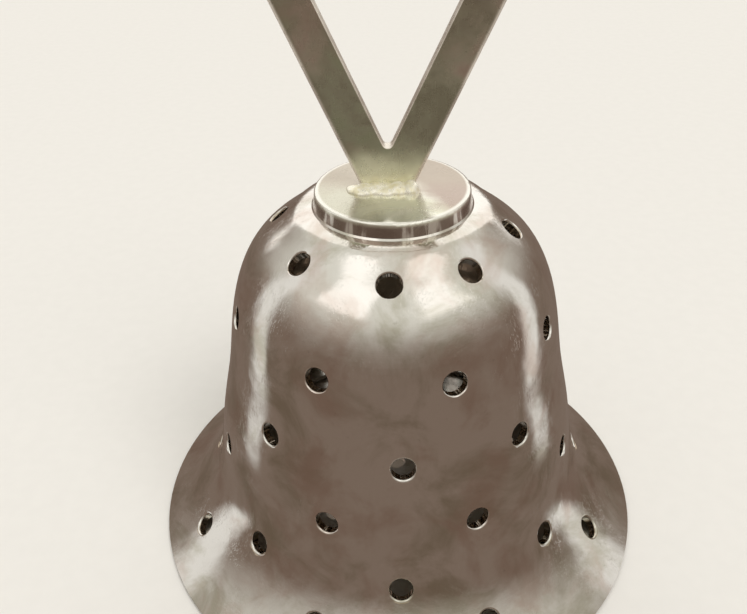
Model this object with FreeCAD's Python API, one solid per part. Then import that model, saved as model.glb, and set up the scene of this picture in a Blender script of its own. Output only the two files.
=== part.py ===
"""Bell-shaped strainer for loose leaves: a perforated silver-plated bell with a loop
handle soldered to a disc on its crown, and a perforated lid hinged inside its mouth.

Millimetres. +Z is up along the bell's axis, and z = 0 is the flat face at the mouth that
the strainer stands on. -Y is the front, with the thumb tab; +Y is the back, with the hinge.
"""
import FreeCAD, Part
import math
import os

V = FreeCAD.Vector
X_AXIS, Y_AXIS, Z_AXIS = V(1, 0, 0), V(0, 1, 0), V(0, 0, 1)
clear = 1.0                     # how far cutting shapes reach past what they cut

# ---- bell wall -------------------------------------------------------------------
mouth_radius = 22.5
wall = 0.75
lip_round = 0.3                 # rounding of the outer corner at the mouth
arc_bulge = 1 - math.sqrt(0.5)  # how near the middle of a quarter round is to its corner, in radii
crown_land_radius = 5.4         # flat top that the disc is soldered to
crown_height = 31.78
# outside of the wall as radius and height, from the lip up to the flat on the crown,
# and the directions in which it sets off and arrives
bell_outline = (
    (mouth_radius, lip_round), (20.25, 2.05), (18.55, 3.7), (16.95, 6.15), (16.15, 9.2),
    (15.35, 13.6), (14.35, 18.0), (13.6, 22.4), (12.45, 26.3), (10.6, 29.0),
    (8.4, 30.75), (crown_land_radius, crown_height),
)
outline_sets_off = V(-0.78, 0, 0.62)
outline_arrives = V(-1, 0, 0)
inside_points = 40              # along the inside of the wall, which follows the outside

# ---- holes in the wall -----------------------------------------------------------
holes_per_row = 8
bell_hole_radius = 0.92
hole_edge_round = 0.2           # the edge is polished over, so each hole is trumpet-mouthed
# each row: height, turn of its first hole from the front, then how far each hole has
# drifted from an even spacing, because the holes were drilled by hand (all in degrees)
hole_rows = (
    (30.0, -5.5, (3.0, -4.0, -4.8, -0.1, 1.0, -1.5, -4.6, 2.2)),
    (23.7, 18.0, (0.2, -0.6, 1.2, -1.0, 0.8, 1.4, -0.4, 1.3)),
    (17.15, 0.0, (1.5, -4.1, -1.5, 0.9, -0.7, 1.1, -1.2, 2.0)),
    (11.6, 22.5, (0.6, -2.9, 1.0, -0.8, 1.3, -1.1, -0.7, 1.6)),
    (6.2, 0.0, (0.4, 1.9, -1.2, 1.4, -0.6, 0.8, -2.1, 0.9)),
    (3.1, 22.1, (0.0, -3.2, 1.1, -0.9, 1.2, -0.5, 0.9, 1.6)),
)

# ---- disc and handle on the crown --------------------------------------------------
disc_radius = 6.08
disc_foot_radius = 6.22
disc_thickness = 1.22
disc_top = crown_height + disc_thickness
disc_edge_round = 0.22
seam_leg = 0.12                 # fillet of solder round the foot of the disc

strip_thickness = 1.2           # of the flat plate that the loop is cut from
strip_front = -0.05             # y of its front face
bow_centre = 56.4               # height of the centre of the loop's round bow
outer_half_angle = 23.7         # each arm's outer edge leans out by this much from upright
outer_edges_meet = 28.12        # height at which the two outer edges would meet
inner_half_angle = 24.5         # the inner edges lean out more, so the arms are wider at the foot
inner_edges_meet = 35.58
crotch_radius = 0.4
front_edge_round = 0.58         # the loop's outer edges are worn round, most of all in front
back_edge_round = 0.42
inner_edge_round = 0.1
solder_wrap = 0.3               # how far the solder runs round the loop's edges
handle_shift = -0.36            # the handle was soldered a little to the left
handle_lean = 0.8               # and leans a little to the right, in degrees
handle_sunk = 0.6               # the arms are made longer, then trimmed level with the disc
# the two runs of solder at the handle's foot: place along it, reach over the disc, height
front_solder = (
    (-3.55, 0.5, 0.2), (-3.1, 1.35, 0.5), (-2.4, 1.6, 0.62), (-1.5, 1.5, 0.58), (-0.6, 1.75, 0.66),
    (0.4, 1.6, 0.58), (1.2, 1.7, 0.72), (1.7, 1.3, 0.66), (2.05, 0.5, 0.3),
)
back_solder = (
    (-2.5, 0.4, 0.2), (-1.9, 1.0, 0.5), (-1.0, 1.2, 0.6), (0.0, 1.05, 0.52), (0.9, 1.25, 0.6),
    (1.5, 0.9, 0.5), (1.9, 0.4, 0.2),
)
solder_swell = (0.5, 0.66)      # the middle of its surface, in shares of reach and height

# ---- ring in the mouth -------------------------------------------------------------
ring_height = 1.7
ring_opening = 18.4
ledge_opening = 17.2            # inside of the ledge that the lid closes against
ledge_underside = 1.2
lead_in = 0.25

# ---- perforated lid ----------------------------------------------------------------
lid_radius = 18.1
lid_underside = 0.55
lid_thickness = 0.5
lid_band = 2.6                  # flat band round the lid, outside its dome
lid_dome_rise = 2.1
lid_dome_drop = 0.525           # how much lower the dome is half way out
lid_hole_radius = 0.9
lid_hole_rings = ((0.0, 1), (4.1, 6), (8.1, 12), (12.1, 18))

# ---- hinge -------------------------------------------------------------------------
hinge_y = 19.05
hinge_z = 0.85
knuckle_radius = 0.62
pin_radius = 0.3
pin_clearance = 0.05
lid_knuckle_half = 1.75
knuckle_gap = 0.15
knuckle_end = 4.1               # half the hinge's whole width
leaf_thickness = 0.4
leaf_front = 15.8

# ---- thumb tab ---------------------------------------------------------------------
tab_half_width = 2.3
tab_thickness = 0.35
tab_inner_end = -15.8
tab_corner = 0.9                # rounding of the two corners at that end
tab_curl_y = -21.45
tab_curl_radius = 0.5
slot_side_gap = 0.4
slot_height = 0.95              # over the flat part of the tab
curl_slot_height = 1.6
curl_slot_reach = -20.4


def circle_solid(radius, start, length, axis):
    return Part.makeCylinder(radius, length, start, axis)


def box_between(low, high):
    size = [b - a for a, b in zip(low, high)]
    return Part.makeBox(size[0], size[1], size[2], V(*low))


def turned(edges):
    """Solid of revolution about Z from a closed run of edges in the XZ plane."""
    face = Part.Face(Part.Wire(edges))
    return face.revolve(V(0, 0, 0), Z_AXIS, 360)


def polygon_edges(points):
    closed = list(points) + [points[0]]
    return [Part.makeLine(V(a[0], 0, a[1]), V(b[0], 0, b[1])) for a, b in zip(closed, closed[1:])]


def outer_curve():
    curve = Part.BSplineCurve()
    points = [V(r, 0, z) for r, z in bell_outline]
    curve.interpolate(Points=points, InitialTangent=outline_sets_off, FinalTangent=outline_arrives)
    return curve


def inner_curve(outer):
    """The outer curve moved in by the wall thickness, carried down past z = 0."""
    first, last = outer.FirstParameter, outer.LastParameter
    points = []
    for i in range(inside_points + 1):
        u = first + (last - first) * i / inside_points
        tangent = outer.tangent(u)[0]
        inward = V(-tangent.z, 0, tangent.x)
        points.append(outer.value(u) + inward * wall)
    curve = Part.BSplineCurve()
    curve.interpolate(points)
    return curve


def parameter_where(curve, not_yet_there):
    """Parameter at which the test turns false on the way up the curve."""
    low, high = curve.FirstParameter, curve.LastParameter
    for _ in range(60):
        middle = (low + high) / 2
        if not_yet_there(curve.value(middle)):
            low = middle
        else:
            high = middle
    return low


def radius_at(curve, height):
    """Radius of the curve at a height between its two ends, and the parameter there."""
    parameter = parameter_where(curve, lambda point: point.z < height)
    return curve.value(parameter).x, parameter


def height_at(curve, radius):
    return curve.value(parameter_where(curve, lambda point: point.x > radius)).z


def wall_section(outer, inner):
    """Closed outline of the wall: lip, outside, crown and inside."""
    lip_outer = outer.value(outer.FirstParameter)
    lip_corner = V(lip_outer.x - arc_bulge * lip_round, 0, arc_bulge * lip_round)
    lip_flat = V(lip_outer.x - lip_round, 0, 0)
    inner_radius, inner_start = radius_at(inner, 0.0)
    mouth_inside = V(inner_radius, 0, 0)
    crown_outer = outer.value(outer.LastParameter)
    crown_inner = inner.value(inner.LastParameter)
    return [
        Part.Arc(lip_flat, lip_corner, lip_outer).toShape(),
        outer.toShape(),
        Part.makeLine(crown_outer, V(0, 0, crown_outer.z)),
        Part.makeLine(V(0, 0, crown_outer.z), V(0, 0, crown_inner.z)),
        Part.makeLine(V(0, 0, crown_inner.z), crown_inner),
        inner.toShape(inner_start, inner.LastParameter),
        Part.makeLine(mouth_inside, lip_flat),
    ]


def cavity_solid(inner):
    """The space inside the bell, from z = 0 to the underside of the crown."""
    inner_radius, inner_start = radius_at(inner, 0.0)
    crown_inner = inner.value(inner.LastParameter)
    return turned([
        inner.toShape(inner_start, inner.LastParameter),
        Part.makeLine(crown_inner, V(0, 0, crown_inner.z)),
        Part.makeLine(V(0, 0, crown_inner.z), V(0, 0, 0)),
        Part.makeLine(V(0, 0, 0), V(inner_radius, 0, 0)),
    ])


def trumpet_cutter(radius, rounding, depth):
    """Cutter along +Z that leaves a hole with a rounded mouth at z = 0."""
    arc_middle = V(radius + arc_bulge * rounding, 0, -arc_bulge * rounding)
    mouth = V(radius + rounding, 0, 0)
    throat = V(radius, 0, -rounding)
    return turned([
        Part.makeLine(V(0, 0, clear), V(mouth.x, 0, clear)),
        Part.makeLine(V(mouth.x, 0, clear), mouth),
        Part.Arc(mouth, arc_middle, throat).toShape(),
        Part.makeLine(throat, V(radius, 0, -depth)),
        Part.makeLine(V(radius, 0, -depth), V(0, 0, -depth)),
        Part.makeLine(V(0, 0, -depth), V(0, 0, clear)),
    ])


def front_angle(degrees):
    """Direction in the XY plane, counted from the front towards +X."""
    angle = math.radians(degrees - 90)
    return V(math.cos(angle), math.sin(angle), 0)


def bell_hole_cutters(outer):
    cutters = []
    for height, turn, drifts in hole_rows:
        radius, parameter = radius_at(outer, height)
        tangent = outer.tangent(parameter)[0]
        for i in range(holes_per_row):
            outward = front_angle(360.0 / holes_per_row * i + turn + drifts[i])
            normal = outward * tangent.z - Z_AXIS * tangent.x
            cutter = trumpet_cutter(bell_hole_radius, hole_edge_round, 3 * wall)
            cutter.Placement = FreeCAD.Placement(
                outward * radius + Z_AXIS * height, FreeCAD.Rotation(Z_AXIS, normal))
            cutters.append(cutter)
    return cutters


def tab_slot():
    """Opening at the front of the lip and the ring, where the thumb tab lies."""
    half = tab_half_width + slot_side_gap
    outside = -mouth_radius - clear
    flat = box_between((-half, outside, -clear), (half, -ledge_opening, slot_height))
    curl = box_between((-half, outside, -clear), (half, curl_slot_reach, curl_slot_height))
    return flat.fuse(curl)


def bell_shell(outer, inner):
    shell = turned(wall_section(outer, inner))
    return shell.cut(bell_hole_cutters(outer) + [tab_slot()])


def crown_disc(outer):
    """Drum with a worn top edge and a slight taper, its underside fitted to the bell."""
    rim = disc_radius - disc_edge_round
    shoulder = disc_top - disc_edge_round
    underside = height_at(outer, disc_foot_radius)
    drum = turned([
        Part.makeLine(V(0, 0, underside), V(disc_foot_radius, 0, underside)),
        Part.makeLine(V(disc_foot_radius, 0, underside), V(disc_radius, 0, shoulder)),
        Part.Arc(V(disc_radius, 0, shoulder),
                 V(disc_radius - arc_bulge * disc_edge_round, 0, disc_top - arc_bulge * disc_edge_round),
                 V(rim, 0, disc_top)).toShape(),
        Part.makeLine(V(rim, 0, disc_top), V(0, 0, disc_top)),
        Part.makeLine(V(0, 0, disc_top), V(0, 0, underside)),
    ])
    return drum.cut(solid_bell(outer))


def crown_solder_seam(outer, disc):
    """Fillet of solder in the corner between the disc's side and the bell."""
    buried = disc_foot_radius - 2 * seam_leg
    toe = disc_foot_radius + seam_leg
    foot = height_at(outer, disc_foot_radius)
    toe_foot = height_at(outer, toe)
    head = foot + seam_leg
    block = turned(polygon_edges((
        (buried, foot - wall), (toe, foot - wall), (toe, toe_foot), (disc_foot_radius, head), (buried, head))))
    return block.cut([disc, solid_bell(outer)])


def solid_bell(outer):
    """Everything inside the bell's outside face, to trim what is soldered onto it."""
    crown_outer = outer.value(outer.LastParameter)
    lip_outer = outer.value(outer.FirstParameter)
    return turned([
        outer.toShape(),
        Part.makeLine(crown_outer, V(0, 0, crown_outer.z)),
        Part.makeLine(V(0, 0, crown_outer.z), V(0, 0, lip_outer.z)),
        Part.makeLine(V(0, 0, lip_outer.z), lip_outer),
    ])


def handle_outline(half_angle, edges_meet, foot_height=None):
    """Outer or inner outline of the loop: two straight edges and the bow that joins them.

    With a foot height the outline is cut off level there; without one the two edges
    run down to a small round crotch.
    """
    half = math.radians(half_angle)
    centre = V(0, 0, bow_centre)
    bow_radius = (bow_centre - edges_meet) * math.sin(half)
    side = V(math.cos(half), 0, -math.sin(half))
    right_tangent = centre + side * bow_radius
    left_tangent = V(-right_tangent.x, 0, right_tangent.z)
    bow = Part.Arc(right_tangent, centre + Z_AXIS * bow_radius, left_tangent).toShape()
    if foot_height is not None:
        foot_half = (foot_height - edges_meet) * math.tan(half)
        right_foot, left_foot = V(foot_half, 0, foot_height), V(-foot_half, 0, foot_height)
        return Part.Wire([
            bow, Part.makeLine(left_tangent, left_foot), Part.makeLine(left_foot, right_foot),
            Part.makeLine(right_foot, right_tangent)])
    crotch_centre = V(0, 0, edges_meet + crotch_radius / math.sin(half))
    right_crotch = crotch_centre + side * crotch_radius
    left_crotch = V(-right_crotch.x, 0, right_crotch.z)
    crotch = Part.Arc(left_crotch, crotch_centre - Z_AXIS * crotch_radius, right_crotch).toShape()
    return Part.Wire([
        bow, Part.makeLine(left_tangent, left_crotch), crotch,
        Part.makeLine(right_crotch, right_tangent)])


def placed_on_crown(shape):
    """Moves a piece of the handle from the bell's axis to where it was soldered."""
    shape = shape.copy()
    shape.rotate(V(0, 0, disc_top), Y_AXIS, handle_lean)
    shape.translate(V(handle_shift, 0, 0))
    return shape


def handle_loop():
    """Flat loop: two straight arms that open upwards into a round bow."""
    sunk_foot = disc_top - handle_sunk
    across = V(0, strip_thickness, 0)
    plate = Part.Face(handle_outline(outer_half_angle, outer_edges_meet, sunk_foot)).extrude(across)
    plate = plate.makeFillet(front_edge_round, face_edges(plate, 0, sunk_foot))
    plate = plate.makeFillet(back_edge_round, face_edges(plate, strip_thickness, sunk_foot))
    window = Part.Face(handle_outline(inner_half_angle, inner_edges_meet)).extrude(across)
    window_edges = face_edges(window, 0, 0) + face_edges(window, strip_thickness, 0)
    plate = plate.cut(window)
    plate = plate.makeFillet(inner_edge_round, [e for e in plate.Edges if matches_any(e, window_edges)])
    plate.translate(V(0, strip_front, 0))
    above = box_between((-mouth_radius, -mouth_radius, disc_top), (mouth_radius, mouth_radius, 2 * bow_centre))
    return placed_on_crown(plate).common(above)


def face_edges(plate, face_y, foot_height):
    """Edges round the face of a plate that lies at face_y, without those at its foot."""
    return [e for e in plate.Edges
            if e.BoundBox.YLength < 0.01
            and abs(e.BoundBox.YMin - face_y) < 0.01
            and e.BoundBox.ZMax > foot_height + 0.01]


def matches_any(edge, originals):
    return any(edge.CenterOfMass.distanceToPoint(o.CenterOfMass) < 1e-4 for o in originals)


def solder_fillet(face_y, direction, stations, handle):
    """Lumpy run of solder in the corner between a face of the handle and the disc."""
    sections = []
    for x, reach, height in stations:
        heel = V(x, face_y - direction * solder_wrap, disc_top)
        toe = V(x, face_y + direction * reach, disc_top)
        swell = V(x, face_y + direction * reach * solder_swell[0], disc_top + height * solder_swell[1])
        head = V(x, face_y, disc_top + height)
        head_back = V(x, heel.y, head.z)
        sections.append(Part.Wire([
            Part.makeLine(heel, toe), Part.Arc(toe, swell, head).toShape(),
            Part.makeLine(head, head_back), Part.makeLine(head_back, heel)]))
    return Part.makeLoft(sections, True, False).cut(handle)


def mouth_ring(cavity):
    """Turned ring soldered inside the mouth, with a ledge that stops the lid."""
    ring = turned(polygon_edges((
        (ring_opening + lead_in, 0), (mouth_radius, 0), (mouth_radius, ring_height),
        (ledge_opening, ring_height), (ledge_opening, ledge_underside),
        (ring_opening, ledge_underside), (ring_opening, lead_in))))
    hinge_notch = box_between((-knuckle_end, 0, -clear), (knuckle_end, mouth_radius, ring_height + clear))
    return ring.common(cavity).cut([hinge_notch, tab_slot()])


def hinge_barrel(x_from, x_to):
    return circle_solid(knuckle_radius, V(x_from, hinge_y, hinge_z), x_to - x_from, X_AXIS)


def hinge_bore(radius):
    start = V(-knuckle_end - clear, hinge_y, hinge_z)
    return circle_solid(radius, start, 2 * (knuckle_end + clear), X_AXIS)


def hinge_knuckles():
    """The two knuckles soldered into the notch of the mouth ring."""
    inner_end = lid_knuckle_half + knuckle_gap
    left = hinge_barrel(-knuckle_end, -inner_end)
    right = hinge_barrel(inner_end, knuckle_end)
    return Part.makeCompound([k.cut(hinge_bore(pin_radius)) for k in (left, right)])


def hinge_pin():
    return circle_solid(pin_radius, V(-knuckle_end, hinge_y, hinge_z), 2 * knuckle_end, X_AXIS)


def base_lid():
    """Domed plate with a flat band round it, pierced by rings of holes."""
    band_inner = lid_radius - lid_band
    top = lid_underside + lid_thickness
    rise = lid_dome_rise
    drop = lid_dome_drop
    section = [
        Part.makeLine(V(lid_radius, 0, lid_underside), V(lid_radius, 0, top)),
        Part.makeLine(V(lid_radius, 0, top), V(band_inner, 0, top)),
        Part.Arc(V(band_inner, 0, top), V(band_inner / 2, 0, top + rise - drop), V(0, 0, top + rise)).toShape(),
        Part.makeLine(V(0, 0, top + rise), V(0, 0, lid_underside + rise)),
        Part.Arc(V(0, 0, lid_underside + rise), V(band_inner / 2, 0, lid_underside + rise - drop),
                 V(band_inner, 0, lid_underside)).toShape(),
        Part.makeLine(V(band_inner, 0, lid_underside), V(lid_radius, 0, lid_underside)),
    ]
    plate = turned(section)
    cutters = []
    for ring_radius, count in lid_hole_rings:
        for i in range(count):
            spot = front_angle(360.0 / count * (i + 0.5)) * ring_radius
            cutters.append(circle_solid(lid_hole_radius, spot, lid_radius, Z_AXIS))
    return plate.cut(cutters)


def lid_hinge_leaf():
    """Strap soldered on the lid's band, rolled into the middle knuckle at its end."""
    top = lid_underside + lid_thickness
    half = lid_knuckle_half
    strap = box_between((-half, leaf_front, top), (half, hinge_y, top + leaf_thickness))
    leaf = strap.fuse(hinge_barrel(-half, half)).removeSplitter()
    return leaf.cut(hinge_bore(pin_radius + pin_clearance))


def lid_thumb_tab():
    """Strip soldered under the lid's band, its free end curled up for a thumbnail."""
    half = tab_half_width
    under = lid_underside - tab_thickness
    strip = box_between((-half, tab_curl_y, under), (half, tab_inner_end, lid_underside))
    corners = [e for e in strip.Edges if e.BoundBox.ZLength > tab_thickness / 2
               and e.BoundBox.YMin > tab_inner_end - tab_corner]
    strip = strip.makeFillet(tab_corner, corners)
    curl = circle_solid(tab_curl_radius, V(-half, tab_curl_y, under + tab_curl_radius), 2 * half, X_AXIS)
    return strip.fuse(curl).removeSplitter()


def main():
    os.makedirs("parts", exist_ok=True)
    outer = outer_curve()
    inner = inner_curve(outer)
    cavity = cavity_solid(inner)
    shell = bell_shell(outer, inner)
    disc = crown_disc(outer)
    handle = handle_loop()
    back_face = strip_front + strip_thickness
    pieces = {
        "bell_shell": shell,
        "crown_disc": disc,
        "crown_solder_seam": crown_solder_seam(outer, disc),
        "handle_loop": handle,
        "handle_solder_front": solder_fillet(strip_front, -1, front_solder, handle),
        "handle_solder_back": solder_fillet(back_face, 1, back_solder, handle),
        "mouth_ring": mouth_ring(cavity),
        "hinge_knuckles": hinge_knuckles(),
        "hinge_pin": hinge_pin(),
        "base_lid": base_lid(),
        "lid_hinge_leaf": lid_hinge_leaf(),
        "lid_thumb_tab": lid_thumb_tab(),
    }
    for name, shape in pieces.items():
        print(name, "solids", len(shape.Solids), "valid", shape.isValid(), "volume", round(shape.Volume, 3))
        shape.exportStep("parts/" + name + ".step")


main()
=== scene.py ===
"""Looks of the bell-shaped strainer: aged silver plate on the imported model, a plain pale floor,
soft studio light and the camera. Metres; +Z is up the bell's axis and -Y is the front."""

import math

import bmesh
import bpy
from mathutils import Matrix, Vector, noise


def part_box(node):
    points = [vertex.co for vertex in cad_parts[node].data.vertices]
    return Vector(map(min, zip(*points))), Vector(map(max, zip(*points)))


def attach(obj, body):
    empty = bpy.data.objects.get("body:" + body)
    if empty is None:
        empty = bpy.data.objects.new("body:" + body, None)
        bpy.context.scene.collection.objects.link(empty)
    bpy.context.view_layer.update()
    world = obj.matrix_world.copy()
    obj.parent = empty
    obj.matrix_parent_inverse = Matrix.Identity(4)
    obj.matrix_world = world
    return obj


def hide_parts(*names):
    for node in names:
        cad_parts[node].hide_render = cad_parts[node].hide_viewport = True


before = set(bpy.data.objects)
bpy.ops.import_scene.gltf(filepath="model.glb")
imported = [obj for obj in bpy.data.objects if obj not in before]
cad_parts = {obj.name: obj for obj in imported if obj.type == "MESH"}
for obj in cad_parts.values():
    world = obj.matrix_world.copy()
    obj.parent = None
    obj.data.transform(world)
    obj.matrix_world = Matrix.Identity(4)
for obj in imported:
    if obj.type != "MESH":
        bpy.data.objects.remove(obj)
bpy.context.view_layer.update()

MM = 0.001

# ---- camera ------------------------------------------------------------------------------
camera_place = Vector((-0.59, -54.74, 59.54)) * MM
camera_pitch = math.radians(34.64)      # looking down
camera_turn = math.radians(1.21)        # to the left of the +Y axis
camera_roll = math.radians(-1.77)
camera_lens = 37.53                     # millimetres, on a sensor 36 mm wide

# ---- floor and light -----------------------------------------------------------------------
floor_half = 20.0               # metres
floor_height = -0.03 * MM       # a hair below the rim, so that the two faces don't coincide
floor_colour = (0.80, 0.785, 0.76)
backdrop_colour = (0.88, 0.85, 0.77)    # like the lit floor, so that no horizon shows

# The studio is a plain room with dim warm walls and a pale ceiling, and the same neutral soft
# boxes on the left as on the right. The metal mirrors its dim ground instead of the pale floor,
# which would wash the polished sides out.
ground_colour = (0.45, 0.42, 0.38)
wall_colour = (0.20, 0.15, 0.12)
ceiling_colour = (0.75, 0.74, 0.68)
box_colour = (1.0, 0.98, 0.94)
box_edge = 4.0                  # degrees over which a soft box fades out at its edges

# middle and width of each soft box round the object, its lower and upper edge, all in degrees
# (0 is behind the camera, + to the right), and its brightness
soft_boxes = (
    (-50, 50, 40, 70, 1.2),     # large ones at the front
    (50, 50, 40, 70, 1.2),
    (-100, 15, -30, 50, 0.8),   # tall strips at the sides
    (100, 15, -30, 50, 0.8),
    (180, 90, 10, 60, 1.2),     # a wide one at the back
)

sun_place = Vector((0.35, -0.35, 0.75))     # the sun shines from here towards the bell
sun_target = Vector((0, 0, 0.02))
sun_strength = 1.1
sun_angle = math.radians(32)                # wide, for a soft shadow
sun_colour = (1.0, 0.97, 0.93)

# ---- solder ----------------------------------------------------------------------------------
# lumps along each run at the handle's foot: place from its left end to its right end, half
# width, reach over the disc and height, all as shares of the run's box
front_lumps = (
    (0.11, 0.11, 0.64, 0.44), (0.24, 0.17, 0.93, 0.66), (0.42, 0.15, 0.86, 0.78), (0.55, 0.16, 0.97, 0.66),
    (0.72, 0.15, 0.90, 0.84), (0.88, 0.12, 0.98, 1.00),
)
back_lumps = (
    (0.14, 0.14, 0.56, 0.52), (0.34, 0.20, 0.95, 0.92), (0.56, 0.18, 0.84, 0.80), (0.78, 0.19, 0.98, 1.00),
)
solder_wrap = 0.3 * MM          # how far each run reaches round the handle's edges
solder_grain = 0.05 * MM
solder_smoothing = 14           # rounds of smoothing that melt the lumps together


# ==== shader helpers ==========================================================================

class Graph:
    """Short calls for building one node tree. Every call returns an output socket."""

    def __init__(self, tree):
        self.tree = tree
        tree.nodes.clear()

    def node(self, kind, inputs=None, **settings):
        made = self.tree.nodes.new(kind)
        for key, value in settings.items():
            setattr(made, key, value)
        for key, value in (inputs or {}).items():
            self.feed(made.inputs[key], value)
        return made

    def feed(self, socket, value):
        """Links a socket to an output, or sets its value; a colour of three parts gets its alpha."""
        if isinstance(value, bpy.types.NodeSocket):
            self.tree.links.new(value, socket)
        elif socket.type == "RGBA" and len(value) == 3:
            socket.default_value = (*value, 1.0)
        else:
            socket.default_value = value

    def math(self, operation, a, b=0.0, c=0.0):
        made = self.node("ShaderNodeMath", operation=operation)
        for socket, value in zip(made.inputs, (a, b, c)):
            self.feed(socket, value)
        return made.outputs[0]

    def add(self, a, b):
        return self.math("ADD", a, b)

    def times(self, a, b):
        return self.math("MULTIPLY", a, b)

    def vector(self, operation, a, b=(0, 0, 0), scale=None):
        made = self.node("ShaderNodeVectorMath", operation=operation)
        self.feed(made.inputs[0], a)
        self.feed(made.inputs[1], b)
        if scale is not None:
            self.feed(made.inputs["Scale"], scale)
        return made.outputs["Value" if operation == "DOT_PRODUCT" else "Vector"]

    def split(self, vector):
        made = self.node("ShaderNodeSeparateXYZ", {"Vector": vector})
        return made.outputs[0], made.outputs[1], made.outputs[2]

    def join(self, x, y, z):
        return self.node("ShaderNodeCombineXYZ", {"X": x, "Y": y, "Z": z}).outputs[0]

    def ramp(self, value, low, high, out_low=0.0, out_high=1.0):
        """Goes smoothly from out_low to out_high while value goes from low to high."""
        made = self.node("ShaderNodeMapRange", {"Value": value, "From Min": low, "From Max": high,
                                                "To Min": out_low, "To Max": out_high})
        made.interpolation_type = "SMOOTHSTEP"
        return made.outputs["Result"]

    def band(self, value, low, high, soft):
        """1 between low and high, 0 outside, with soft edges."""
        rise = self.ramp(value, low - soft, low + soft)
        fall = self.ramp(value, high - soft, high + soft, 1.0, 0.0)
        return self.times(rise, fall)

    def mix(self, factor, a, b):
        made = self.node("ShaderNodeMix", data_type="RGBA")
        self.feed(made.inputs["Factor"], factor)
        self.feed(made.inputs[6], a)
        self.feed(made.inputs[7], b)
        return made.outputs[2]

    def noise(self, vector, scale, detail=2.0, roughness=0.5, distortion=0.0):
        made = self.node("ShaderNodeTexNoise", {"Vector": vector, "Scale": scale, "Detail": detail,
                                                "Roughness": roughness, "Distortion": distortion})
        return made.outputs["Fac"]

    def bump(self, height, distance, normal=None):
        made = self.node("ShaderNodeBump", {"Height": height, "Distance": distance, "Strength": 1.0})
        if normal is not None:
            self.feed(made.inputs["Normal"], normal)
        return made.outputs["Normal"]

    def stretched(self, vector, turn, scale):
        """The vector turned by Euler angles and then scaled, for marks that run one way."""
        made = self.node("ShaderNodeMapping", {"Vector": vector, "Rotation": turn, "Scale": scale})
        return made.outputs[0]


# ==== materials ===============================================================================

def new_material(name):
    material = bpy.data.materials.new(name)
    material.use_nodes = True
    return material, Graph(material.node_tree)


def as_metal(material, g, colour, metallic, roughness, normal):
    shader = g.node("ShaderNodeBsdfPrincipled", {
        "Base Color": colour, "Metallic": metallic, "Roughness": roughness, "Normal": normal})
    output = g.node("ShaderNodeOutputMaterial")
    g.tree.links.new(shader.outputs[0], output.inputs[0])
    return material


def millimetres(g):
    """Where the point is in its object's own space, in millimetres."""
    place = g.node("ShaderNodeTexCoord").outputs["Object"]
    return g.vector("SCALE", place, scale=1000.0)


def scratches(g, place, directions, scale, thinness):
    """Fine straight marks in a few directions: 1 in a scratch, 0 on the polish."""
    total = 0.0
    for turn in directions:
        along = g.stretched(place, turn, (scale, scale, scale * 0.035))
        patchy = g.noise(along, 1.0, detail=1.0, roughness=0.4)
        line = g.ramp(patchy, thinness, thinness + 0.05)
        total = g.math("MAXIMUM", total, line)
    gaps = g.ramp(g.noise(place, 0.35, detail=1.0), 0.42, 0.62)
    return g.times(total, gaps)


def silver(name, bright, olive, blush, tarnish, gloss, dents=0.10, turned_marks=0.0, film=0.0, extra=None):
    """Aged silver plate: polished metal under uneven clouds of olive and pinkish tarnish.

    tarnish is how strong the clouds are, and gloss the range of roughness from polished to dull.
    dents and turned_marks are depths in millimetres, film is how much of the metal's shine the
    tarnish hides, and extra may add stains of its own, or on the crown disc a painted reflection.
    """
    material, g = new_material(name)
    place = millimetres(g)
    clouds = g.noise(place, 0.16, detail=5.0, roughness=0.62, distortion=0.6)
    olive_mask = g.times(g.ramp(clouds, 0.44, 0.70), tarnish)
    shifted = g.vector("ADD", place, (31.0, 7.0, 19.0))
    blush_clouds = g.noise(shifted, 0.21, detail=4.0, roughness=0.58, distortion=0.4)
    blush_mask = g.times(g.ramp(blush_clouds, 0.46, 0.72), tarnish)
    specks = g.noise(place, 2.4, detail=4.0, roughness=0.7)
    speck_mask = g.times(g.ramp(specks, 0.60, 0.78), 0.35 * tarnish)

    colour = g.mix(olive_mask, bright, olive)
    colour = g.mix(blush_mask, colour, blush)
    colour = g.mix(speck_mask, colour, tuple(0.55 * c for c in olive))
    if extra is not None:
        colour = extra(g, place, colour)

    marks = scratches(g, place, ((0.3, 0.9, 0.2), (1.2, -0.5, 0.8), (-0.7, 0.4, 1.9)), 5.5, 0.64)
    smear = g.noise(place, 0.5, detail=5.0, roughness=0.65)
    low, high = gloss
    roughness = g.ramp(smear, 0.3, 0.75, low, high)
    roughness = g.add(roughness, g.times(marks, 0.11))
    roughness = g.add(roughness, g.times(speck_mask, 0.25))

    height = g.noise(place, 0.20, detail=2.0, roughness=0.5)
    normal = g.bump(height, dents * MM)
    ripple = g.noise(place, 0.9, detail=3.0, roughness=0.6)
    normal = g.bump(ripple, 0.005 * MM, normal=normal)
    if turned_marks:
        x, y, z = g.split(place)
        radius = g.math("SQRT", g.add(g.times(x, x), g.times(y, y)))
        lathe = g.noise(g.join(g.times(radius, 7.0), 0.0, g.times(z, 7.0)), 1.0, detail=2.0, roughness=0.7)
        normal = g.bump(lathe, turned_marks * MM, normal=normal)
    normal = g.bump(marks, -0.002 * MM, normal=normal)

    metallic = 1.0
    if film:
        tarnished = g.math("MAXIMUM", clouds, blush_clouds)
        metallic = g.ramp(tarnished, 0.40, 0.66, 1.0 - 0.35 * film, 1.0 - film)
    return as_metal(material, g, colour, metallic, roughness, normal)


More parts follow.
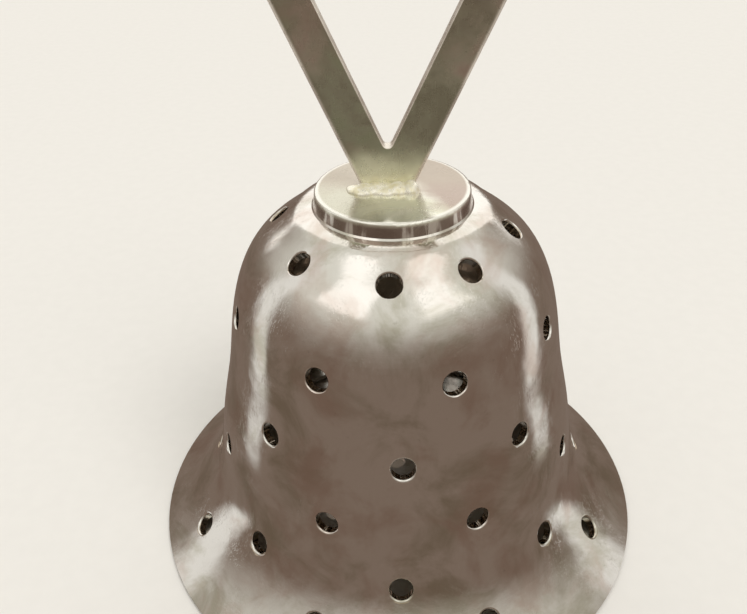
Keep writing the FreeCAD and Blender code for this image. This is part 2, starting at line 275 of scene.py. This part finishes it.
def tea_stain(g, place, colour):
    """Brown tea stain on every face that looks inwards, towards the bell's axis."""
    normal = g.node("ShaderNodeNewGeometry").outputs["Normal"]
    x, y, z = g.split(place)
    outward = g.vector("NORMALIZE", g.join(x, y, 0.0))
    facing = g.vector("DOT_PRODUCT", normal, outward)
    inside = g.ramp(facing, 0.02, -0.12)
    return g.mix(g.times(inside, 0.85), colour, (0.55, 0.46, 0.36))


def crown_grime_and_side_reflection(g, place, colour):
    """Olive on the left, brown on the right and behind, a painted dark reflection with painted pale
    streaks on the disc's side, and a bright worn edge.
    """
    x, y, z = g.split(place)
    low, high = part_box("crown_disc")
    wavy = g.add(g.add(x, g.times(y, 0.45)), g.times(g.noise(place, 0.5), 3.0))
    colour = g.mix(g.ramp(wavy, 2.2, 4.8, 0.0, 0.85), colour, (0.44, 0.33, 0.28))
    colour = g.mix(g.ramp(wavy, 0.6, -2.4, 0.0, 0.8), colour, (0.60, 0.58, 0.47))
    behind = g.ramp(g.add(y, g.times(g.noise(place, 0.8), 2.0)), -0.6, 2.6, 0.0, 0.85)
    colour = g.mix(behind, colour, (0.52, 0.45, 0.37))
    # Painted reflection: the disc's upright side is coloured dark brown with pale vertical streaks, in
    # place of the dark walls and bright streaks that a polished side mirrors.
    side = g.ramp(z, high.z / MM - 0.15, high.z / MM - 0.45)
    painted_streaks = g.noise(g.join(g.times(x, 1.2), g.times(y, 1.2), 0.0), 1.0, detail=2.0)
    painted_side_reflection = g.mix(g.ramp(painted_streaks, 0.52, 0.62), (0.24, 0.17, 0.14), (0.75, 0.70, 0.64))
    colour = g.mix(g.times(side, 0.85), colour, painted_side_reflection)
    radius = g.math("SQRT", g.add(g.times(x, x), g.times(y, y)))
    edge = g.band(radius, high.x / MM - 0.50, high.x / MM - 0.12, 0.12)
    top = g.ramp(z, high.z / MM - 0.25, high.z / MM - 0.10)
    return g.mix(g.times(g.times(edge, top), 0.85), colour, (0.95, 0.93, 0.86))


def handle_wear(g, place, colour):
    """Yellowed foot, browner higher up, and pale metal on the rounded edges where it has worn."""
    flatness = g.math("ABSOLUTE", g.split(g.node("ShaderNodeNewGeometry").outputs["Normal"])[1])
    worn = g.ramp(flatness, 0.97, 0.70)
    x, y, z = g.split(place)
    height = g.add(z, g.times(g.noise(place, 0.35, detail=3.0), 3.0))
    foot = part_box("handle_loop")[0].z / MM
    colour = g.mix(g.ramp(height, foot + 5.2, foot + 2.0, 0.0, 0.85), colour, (0.84, 0.82, 0.62))
    rubbed = g.ramp(height, foot + 8.0, foot + 16.0, 0.0, 0.45)
    colour = g.mix(rubbed, colour, (0.22, 0.155, 0.12))
    return g.mix(g.times(worn, 0.9), colour, (0.90, 0.84, 0.76))


def solder_material():
    material, g = new_material("bright_solder")
    place = millimetres(g)
    patches = g.noise(place, 1.3, detail=4.0, roughness=0.6)
    colour = g.mix(g.ramp(patches, 0.42, 0.66), (1.0, 0.97, 0.85), (0.88, 0.82, 0.59))
    pits = g.ramp(g.noise(place, 3.6, detail=2.0, roughness=0.6), 0.64, 0.74)
    colour = g.mix(g.times(pits, 0.5), colour, (0.22, 0.18, 0.11))
    roughness = g.ramp(patches, 0.3, 0.7, 0.22, 0.42)
    normal = g.bump(g.noise(place, 2.2, detail=3.0, roughness=0.6), 0.05 * MM)
    normal = g.bump(pits, -0.02 * MM, normal=normal)
    return as_metal(material, g, colour, 0.45, roughness, normal)


def brass_wire():
    material, g = new_material("pin_brass")
    place = millimetres(g)
    patches = g.noise(place, 1.8, detail=4.0, roughness=0.6)
    colour = g.mix(g.ramp(patches, 0.35, 0.7), (0.66, 0.50, 0.25), (0.25, 0.17, 0.09))
    roughness = g.ramp(patches, 0.3, 0.7, 0.22, 0.45)
    drawn = g.noise(g.stretched(place, (0, 0, 0), (0.6, 14.0, 14.0)), 1.0, detail=1.0)
    normal = g.bump(drawn, 0.004 * MM)
    return as_metal(material, g, colour, 1.0, roughness, normal)


def solder_run(node, lumps, direction):
    """One run of solder as lumps melted together, in the place of the plain CAD run."""
    low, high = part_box(node)
    face_y = high.y - solder_wrap if direction < 0 else low.y + solder_wrap
    full_reach = high.y - low.y - solder_wrap
    shape = bmesh.new()
    for place, width_share, reach_share, height_share in lumps:
        width, reach = (high.x - low.x) * width_share, full_reach * reach_share
        centre = Vector((low.x + (high.x - low.x) * place, face_y + direction * 0.40 * reach, low.z))
        size = (width, 0.60 * reach, (high.z - low.z) * height_share, 1.0)
        matrix = Matrix.Translation(centre) @ Matrix.Diagonal(size)
        bmesh.ops.create_icosphere(shape, subdivisions=4, radius=1.0, matrix=matrix)
    mesh = bpy.data.meshes.new(node + "_lumps")
    shape.to_mesh(mesh)
    shape.free()
    run = bpy.data.objects.new(node + "_lumps", mesh)
    bpy.context.scene.collection.objects.link(run)
    run.modifiers.new("melted", "REMESH").voxel_size = solder_grain
    smooth = run.modifiers.new("smooth", "SMOOTH")
    smooth.iterations = solder_smoothing
    melted = bpy.data.meshes.new_from_object(run.evaluated_get(bpy.context.evaluated_depsgraph_get()))
    run.modifiers.clear()
    run.data = melted
    swollen = [v.co + v.normal * solder_grain * noise.noise(v.co / MM * 2.2) for v in melted.vertices]
    for vertex, moved in zip(melted.vertices, swollen):
        vertex.co = moved
    melted.shade_smooth()
    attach(run, "bell")
    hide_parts(node)
    return run


def dress(node, material):
    """Gives a carried-over CAD node its material."""
    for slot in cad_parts[node].material_slots:
        slot.material = material


def dress_all(solder_runs):
    polished = (0.87, 0.84, 0.79)
    olive = (0.50, 0.47, 0.36)
    blush = (0.66, 0.54, 0.47)
    bell = silver("bell_silver", polished, olive, blush, 0.75, (0.08, 0.17),
                  turned_marks=0.0015, extra=tea_stain)
    disc = silver("disc_silver", (0.94, 0.94, 0.82), (0.70, 0.70, 0.50), (0.78, 0.69, 0.58),
                  0.6, (0.11, 0.22), film=0.35, extra=crown_grime_and_side_reflection)
    handle = silver("handle_silver", (0.34, 0.33, 0.24), (0.17, 0.18, 0.10), (0.27, 0.19, 0.15),
                    0.9, (0.22, 0.36), dents=0.06, film=0.7, extra=handle_wear)
    satin = (0.34, 0.50)
    ring = silver("ring_silver", (0.82, 0.80, 0.74), olive, blush, 0.6, satin, turned_marks=0.003)
    lid = silver("lid_silver", (0.84, 0.82, 0.76), olive, blush, 0.65, satin)
    hinge = silver("hinge_silver", (0.80, 0.78, 0.72), olive, blush, 0.65, satin, dents=0.04)
    solder = solder_material()
    brass = brass_wire()
    dress("bell_shell", bell)
    dress("crown_disc", disc)
    dress("handle_loop", handle)
    dress("mouth_ring", ring)
    dress("base_lid", lid)
    for node in ("hinge_knuckles", "lid_hinge_leaf", "lid_thumb_tab"):
        dress(node, hinge)
    dress("crown_solder_seam", bell)
    for run in solder_runs:
        run.data.materials.append(solder)
    dress("hinge_pin", brass)


# ==== stage ===================================================================================

def add_floor():
    """Pale paper, see-through from below and hidden from what the metal mirrors."""
    mesh = bpy.data.meshes.new("floor")
    signs = ((-1, -1), (1, -1), (1, 1), (-1, 1))
    corners = [(x * floor_half, y * floor_half, floor_height) for x, y in signs]
    mesh.from_pydata(corners, [], [(0, 1, 2, 3)])
    floor = bpy.data.objects.new("floor", mesh)
    bpy.context.scene.collection.objects.link(floor)
    material, g = new_material("floor_paper")
    place = millimetres(g)
    fibre = g.noise(place, 0.6, detail=3.0)
    colour = g.mix(g.ramp(fibre, 0.3, 0.7), floor_colour, tuple(0.985 * c for c in floor_colour))
    paper = g.node("ShaderNodeBsdfDiffuse", {"Color": colour}).outputs[0]
    clear = g.node("ShaderNodeBsdfTransparent").outputs[0]
    glossy = g.node("ShaderNodeLightPath").outputs["Is Glossy Ray"]
    below = g.node("ShaderNodeNewGeometry").outputs["Backfacing"]
    hidden = g.math("MAXIMUM", glossy, below)
    shown = g.node("ShaderNodeMixShader", {0: hidden, 1: paper, 2: clear}).outputs[0]
    output = g.node("ShaderNodeOutputMaterial")
    g.tree.links.new(shown, output.inputs[0])
    mesh.materials.append(material)


def add_studio():
    """Walls, ceiling and soft boxes that light the scene, and a plain backdrop for the camera."""
    world = bpy.data.worlds.new("studio")
    bpy.context.scene.world = world
    world.use_nodes = True
    g = Graph(world.node_tree)
    direction = g.vector("NORMALIZE", g.node("ShaderNodeTexCoord").outputs["Generated"])
    x, y, z = g.split(direction)
    azimuth = g.math("DEGREES", g.math("ARCTAN2", x, g.times(y, -1.0)))
    elevation = g.math("DEGREES", g.math("ARCSINE", z))
    colour = g.mix(g.ramp(elevation, -5.0, 50.0), wall_colour, ceiling_colour)
    colour = g.mix(g.ramp(elevation, -35.0, -80.0), colour, ground_colour)
    for middle, width, low, high, brightness in soft_boxes:
        turned = g.math("WRAP", g.math("SUBTRACT", azimuth, middle), 180.0, -180.0)
        across = g.band(turned, -width / 2, width / 2, box_edge)
        mask = g.times(across, g.band(elevation, low, high, box_edge))
        colour = g.mix(mask, colour, tuple(brightness * c for c in box_colour))
    room = g.node("ShaderNodeBackground", {"Color": colour, "Strength": 1.0}).outputs[0]
    backdrop = g.node("ShaderNodeBackground", {"Color": backdrop_colour, "Strength": 1.0}).outputs[0]
    seen = g.node("ShaderNodeLightPath").outputs["Is Camera Ray"]
    shown = g.node("ShaderNodeMixShader", {0: seen, 1: room, 2: backdrop}).outputs[0]
    output = g.node("ShaderNodeOutputWorld")
    g.tree.links.new(shown, output.inputs[0])


def add_key_light():
    """A soft sun for the shadow on the floor. The metal doesn't mirror it."""
    light = bpy.data.lights.new("key", "SUN")
    light.angle = sun_angle
    light.energy = sun_strength
    light.color = sun_colour
    key = bpy.data.objects.new("key", light)
    key.location = sun_place
    key.rotation_euler = (sun_target - sun_place).to_track_quat("-Z", "Y").to_euler()
    key.visible_glossy = False
    key.visible_camera = False
    bpy.context.scene.collection.objects.link(key)


def add_camera():
    camera = bpy.data.cameras.new("camera")
    camera.sensor_fit = "HORIZONTAL"
    camera.sensor_width = 36.0
    camera.lens = camera_lens
    camera.clip_start = 0.005
    camera.clip_end = 20.0
    holder = bpy.data.objects.new("camera", camera)
    bpy.context.scene.collection.objects.link(holder)
    turn = Matrix.Rotation(camera_turn, 4, "Z")
    tilt = Matrix.Rotation(math.pi / 2 - camera_pitch, 4, "X")
    roll = Matrix.Rotation(camera_roll, 4, "Z")
    holder.matrix_world = Matrix.Translation(camera_place) @ turn @ tilt @ roll
    bpy.context.scene.camera = holder


add_camera()
add_floor()
add_studio()
add_key_light()
front_run = solder_run("handle_solder_front", front_lumps, -1)
back_run = solder_run("handle_solder_back", back_lumps, 1)
dress_all((front_run, back_run))
bpy.context.scene.view_settings.view_transform = "Standard"
